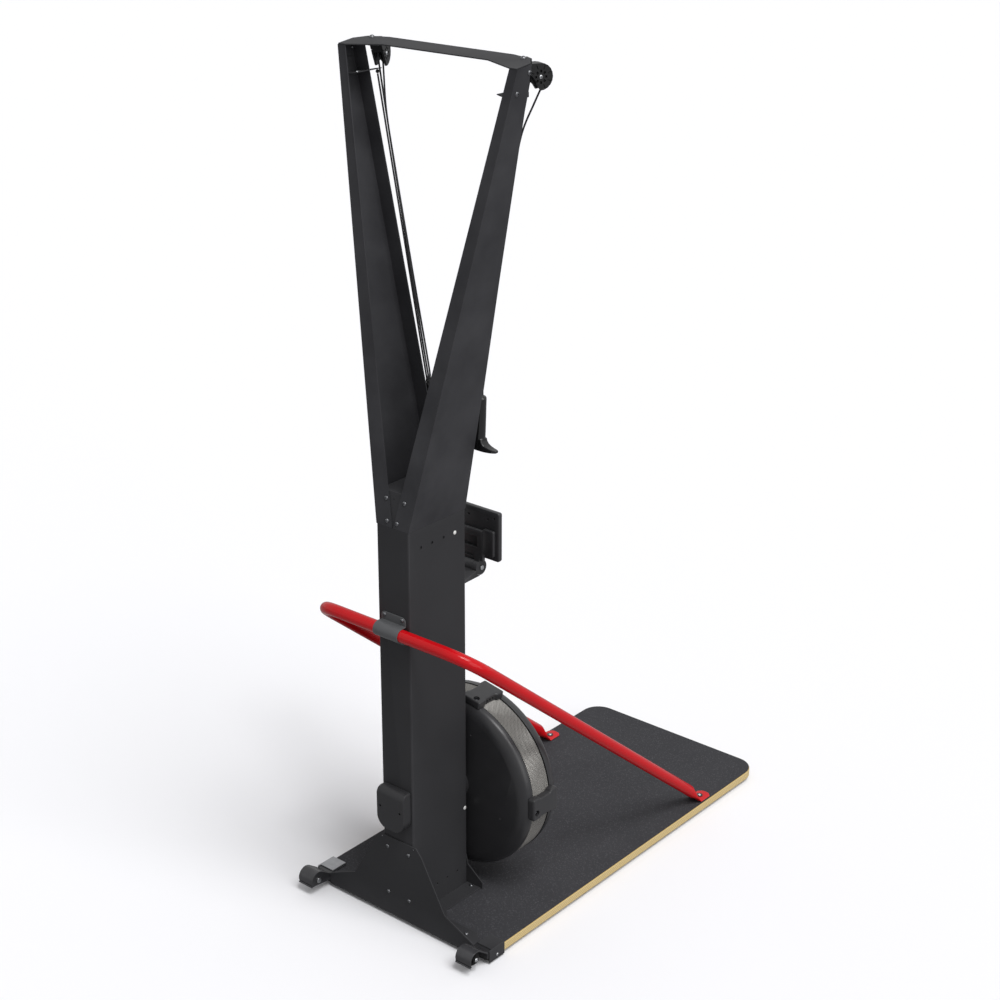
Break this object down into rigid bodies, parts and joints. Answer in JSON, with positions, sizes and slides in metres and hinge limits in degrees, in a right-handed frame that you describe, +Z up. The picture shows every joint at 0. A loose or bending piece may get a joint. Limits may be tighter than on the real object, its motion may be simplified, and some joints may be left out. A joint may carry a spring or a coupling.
{
  "type": "ski trainer machine",
  "caption": "Standing ski trainer with a floor board, V-armed mast, cord handles over pulleys, an air flywheel drum, a tilting monitor and a bent brace tube",
  "frame": {"origin": "on the floor, under the middle of the bounding box", "axes": "+Z up, +Y forward to where the user stands on the board, +X to the right as seen from behind"},
  "size_m": [0.6066, 1.301, 2.2241],
  "materials": {
    "plywood": "clear, fine",
    "mat": "grained, matt",
    "frame_paint": "satin black powder coat",
    "red_paint": "satin red powder coat",
    "clamp_paint": "satin grey",
    "black_plastic": "satin",
    "drum_plastic": "fine grained",
    "cover_plastic": "fine grained",
    "grip_plastic": "glossy",
    "rubber": "matt",
    "cord": "braided",
    "bright_steel": "zinc plated",
    "mesh": "expanded sheet",
    "fan_steel": "dark",
    "screen": "smooth"
  },
  "bodies": {
    "frame": {"base_board": "plywood", "anti_slip_mat": "mat", "base_rear_plate": "frame_paint", "base_foot_plate": "frame_paint", "base_front_plate": "frame_paint", "mast": "frame_paint", "joint_box": "frame_paint", "top_cross_plate": "frame_paint", "rear_drive_cover": "cover_plastic", "support_tube": "red_paint", "tube_clamp": "clamp_paint", "drum_rear_shell": "drum_plastic", "drum_front_shell": "drum_plastic", "drum_mesh_band": "mesh", "monitor_arm": "frame_paint", "hinge_pin": "bright_steel", "rubber_foot_front_left": "rubber", "rubber_foot_front_right": "rubber", "rubber_foot_rear_left": "rubber", "rubber_foot_rear_right": "rubber", "wheel_guard_left": "drum_plastic", "wheel_axle_left": "bright_steel", "wheel_bracket_left": "frame_paint", "arm_left": "frame_paint", "cord_guide_left": "frame_paint", "cord_stop_left": "rubber", "pulley_housing_left": "black_plastic", "handle_clip_left": "rubber", "handle_cord_left": "cord", "drive_cord_left": "cord", "wheel_guard_right": "drum_plastic", "wheel_axle_right": "bright_steel", "wheel_bracket_right": "frame_paint", "arm_right": "frame_paint", "cord_guide_right": "frame_paint", "cord_stop_right": "rubber", "pulley_housing_right": "black_plastic", "handle_clip_right": "rubber", "handle_cord_right": "cord", "drive_cord_right": "cord", "drum_clip_right": "drum_plastic", "drum_clip_top": "drum_plastic", "drum_clip_left": "drum_plastic", "drum_clip_bottom": "drum_plastic"},
    "flywheel": {"flywheel_fan": "fan_steel", "flywheel_shaft": "bright_steel"},
    "damper": {"damper_lever": "black_plastic"},
    "monitor": {"monitor_case": "black_plastic", "monitor_screen": "screen", "battery_cover": "black_plastic", "monitor_bracket": "frame_paint"},
    "button": {"monitor_button": "drum_plastic"},
    "handle_left_body": {"handle_left": "grip_plastic"},
    "sheave_left_body": {"sheave_left": "drum_plastic"},
    "spool_left_body": {"drive_spool_left": "black_plastic"},
    "wheel_left_body": {"transport_wheel_left": "rubber"},
    "handle_right_body": {"handle_right": "grip_plastic"},
    "sheave_right_body": {"sheave_right": "drum_plastic"},
    "spool_right_body": {"drive_spool_right": "black_plastic"},
    "wheel_right_body": {"transport_wheel_right": "rubber"}
  },
  "joints": [
    {"name": "flywheel_spin", "type": "hinge", "parent": "frame", "child": "flywheel", "pos_m": [0, -0.2975, 0.3207], "axis": [0, 1, 0], "continuous": true},
    {"name": "damper_turn", "type": "hinge", "parent": "frame", "child": "damper", "pos_m": [0, -0.2225, 0.3207], "axis": [0, 1, 0], "range_deg": [-40, 40]},
    {"name": "monitor_tilt", "type": "hinge", "parent": "frame", "child": "monitor", "pos_m": [0, -0.3025, 0.9268], "axis": [1, 0, 0], "range_deg": [-20, 20]},
    {"name": "button_press", "type": "slide", "parent": "monitor", "child": "button", "axis": [0, -1, 0], "range_m": [0, 0.0019], "stiffness_N_per_m": 300, "springref_m": -0.0005},
    {"name": "handle_left_pull", "type": "slide", "parent": "frame", "child": "handle_left_body", "axis": [0, 0.7071, -0.7071], "range_m": [0, 0.7], "deforming": ["handle_cord_left"]},
    {"name": "sheave_left_spin", "type": "hinge", "parent": "frame", "child": "sheave_left_body", "pos_m": [-0.237, -0.3356, 2.1795], "axis": [0.915, 0.4035, 0], "range_deg": [-3540, 0]},
    {"name": "spool_left_spin", "type": "hinge", "parent": "frame", "child": "spool_left_body", "pos_m": [0, -0.50985, 0.3207], "axis": [0, 1, 0], "range_deg": [-2640, 0]},
    {"name": "wheel_left_roll", "type": "hinge", "parent": "frame", "child": "wheel_left_body", "pos_m": [-0.276, -0.6255, 0.0403], "axis": [1, 0, 0], "continuous": true},
    {"name": "handle_right_pull", "type": "slide", "parent": "frame", "child": "handle_right_body", "axis": [0, 0.7071, -0.7071], "range_m": [0, 0.7], "deforming": ["handle_cord_right"]},
    {"name": "sheave_right_spin", "type": "hinge", "parent": "frame", "child": "sheave_right_body", "pos_m": [0.237, -0.3356, 2.1795], "axis": [0.915, -0.4035, 0], "range_deg": [-3540, 0]},
    {"name": "spool_right_spin", "type": "hinge", "parent": "frame", "child": "spool_right_body", "pos_m": [0, -0.45192, 0.3207], "axis": [0, 1, 0], "range_deg": [-2640, 0]},
    {"name": "wheel_right_roll", "type": "hinge", "parent": "frame", "child": "wheel_right_body", "pos_m": [0.276, -0.6255, 0.0403], "axis": [1, 0, 0], "continuous": true}
  ],
  "couplings": [
    {"joint": "sheave_left_spin", "follows": "handle_left_pull", "rad_per_m": -87.895},
    {"joint": "spool_left_spin", "follows": "handle_left_pull", "rad_per_m": -65.49},
    {"joint": "sheave_right_spin", "follows": "handle_right_pull", "rad_per_m": -87.895},
    {"joint": "spool_right_spin", "follows": "handle_right_pull", "rad_per_m": -65.49}
  ]
}
